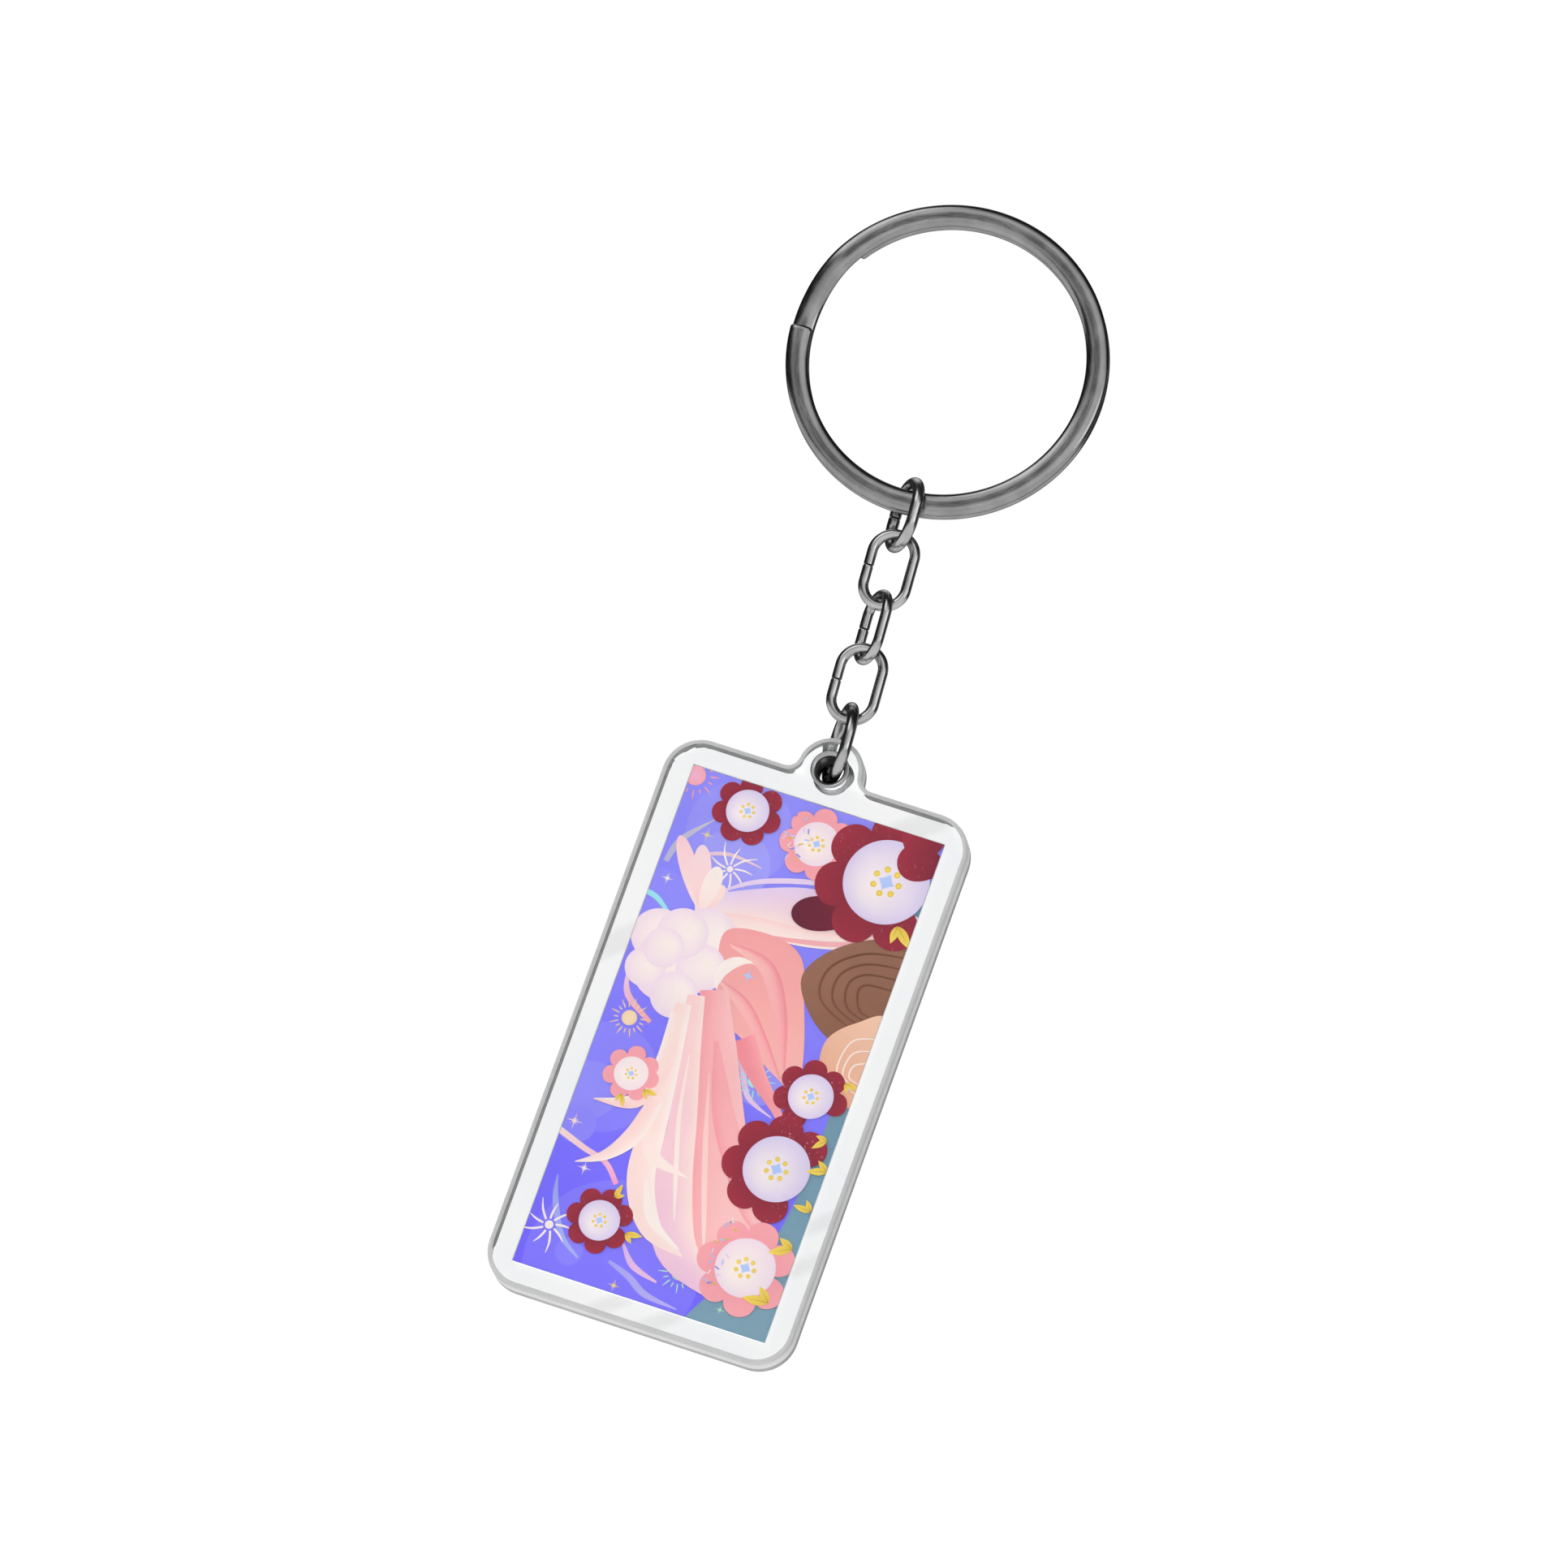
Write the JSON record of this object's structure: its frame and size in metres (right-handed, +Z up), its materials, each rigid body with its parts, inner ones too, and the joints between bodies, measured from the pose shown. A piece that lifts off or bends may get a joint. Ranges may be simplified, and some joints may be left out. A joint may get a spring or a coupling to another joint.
{
  "type": "keychain",
  "caption": "Keychain: a two-turn split key ring, a short chain of oval wire links and a clear rounded tag with a printed picture inside, hung by a metal eyelet.",
  "frame": {"origin": "highest point of the key ring's inner wall, where a hook or a finger carries the hanging keychain", "axes": "+Z up along the hanging chain, X across the tag, -Y the side that the print faces"},
  "size_m": [0.0336, 0.0068, 0.1113],
  "materials": {
    "ring_steel": "dark nickel plated spring steel, polished",
    "chain_steel": "dark nickel plated steel wire, polished",
    "eyelet_steel": "nickel plated steel, polished",
    "clear_acrylic": "clear polished acrylic",
    "print_film": "satin colour print",
    "white_card": "matt white card"
  },
  "bodies": {
    "key_ring": {"split_ring": "ring_steel"},
    "ring_link": {"ring_link": "chain_steel"},
    "upper_link": {"chain_link_upper": "chain_steel"},
    "middle_link": {"chain_link_middle": "chain_steel"},
    "lower_link": {"chain_link_lower": "chain_steel"},
    "tag_link": {"tag_link": "chain_steel"},
    "tag": {"front_plate": "clear_acrylic", "back_plate": "clear_acrylic", "art_print": "print_film", "backing_card": "white_card", "eyelet": "eyelet_steel", "eyelet_washer": "eyelet_steel"}
  },
  "joints": [
    {"name": "ring_link_swing", "type": "hinge", "parent": "key_ring", "child": "ring_link", "pos_m": [0, 0, -0.02685], "axis": [1, 0, 0], "range_deg": [-120, 120]},
    {"name": "upper_link_swing", "type": "hinge", "parent": "ring_link", "child": "upper_link", "pos_m": [0, 0, -0.03118], "axis": [0.4695, -0.8829, 0], "range_deg": [-60, 60]},
    {"name": "middle_link_swing", "type": "hinge", "parent": "upper_link", "child": "middle_link", "pos_m": [0, 0, -0.037], "axis": [1, 0, 0], "range_deg": [-60, 60]},
    {"name": "lower_link_swing", "type": "hinge", "parent": "middle_link", "child": "lower_link", "pos_m": [0, 0, -0.0423], "axis": [0.5299, -0.848, 0], "range_deg": [-60, 60]},
    {"name": "tag_link_swing", "type": "hinge", "parent": "lower_link", "child": "tag_link", "pos_m": [0, 0, -0.0482], "axis": [1, 0, 0], "range_deg": [-60, 60]},
    {"name": "tag_swing", "type": "hinge", "parent": "tag_link", "child": "tag", "pos_m": [0, 0, -0.05357], "axis": [0, 1, 0], "range_deg": [-70, 70]}
  ]
}
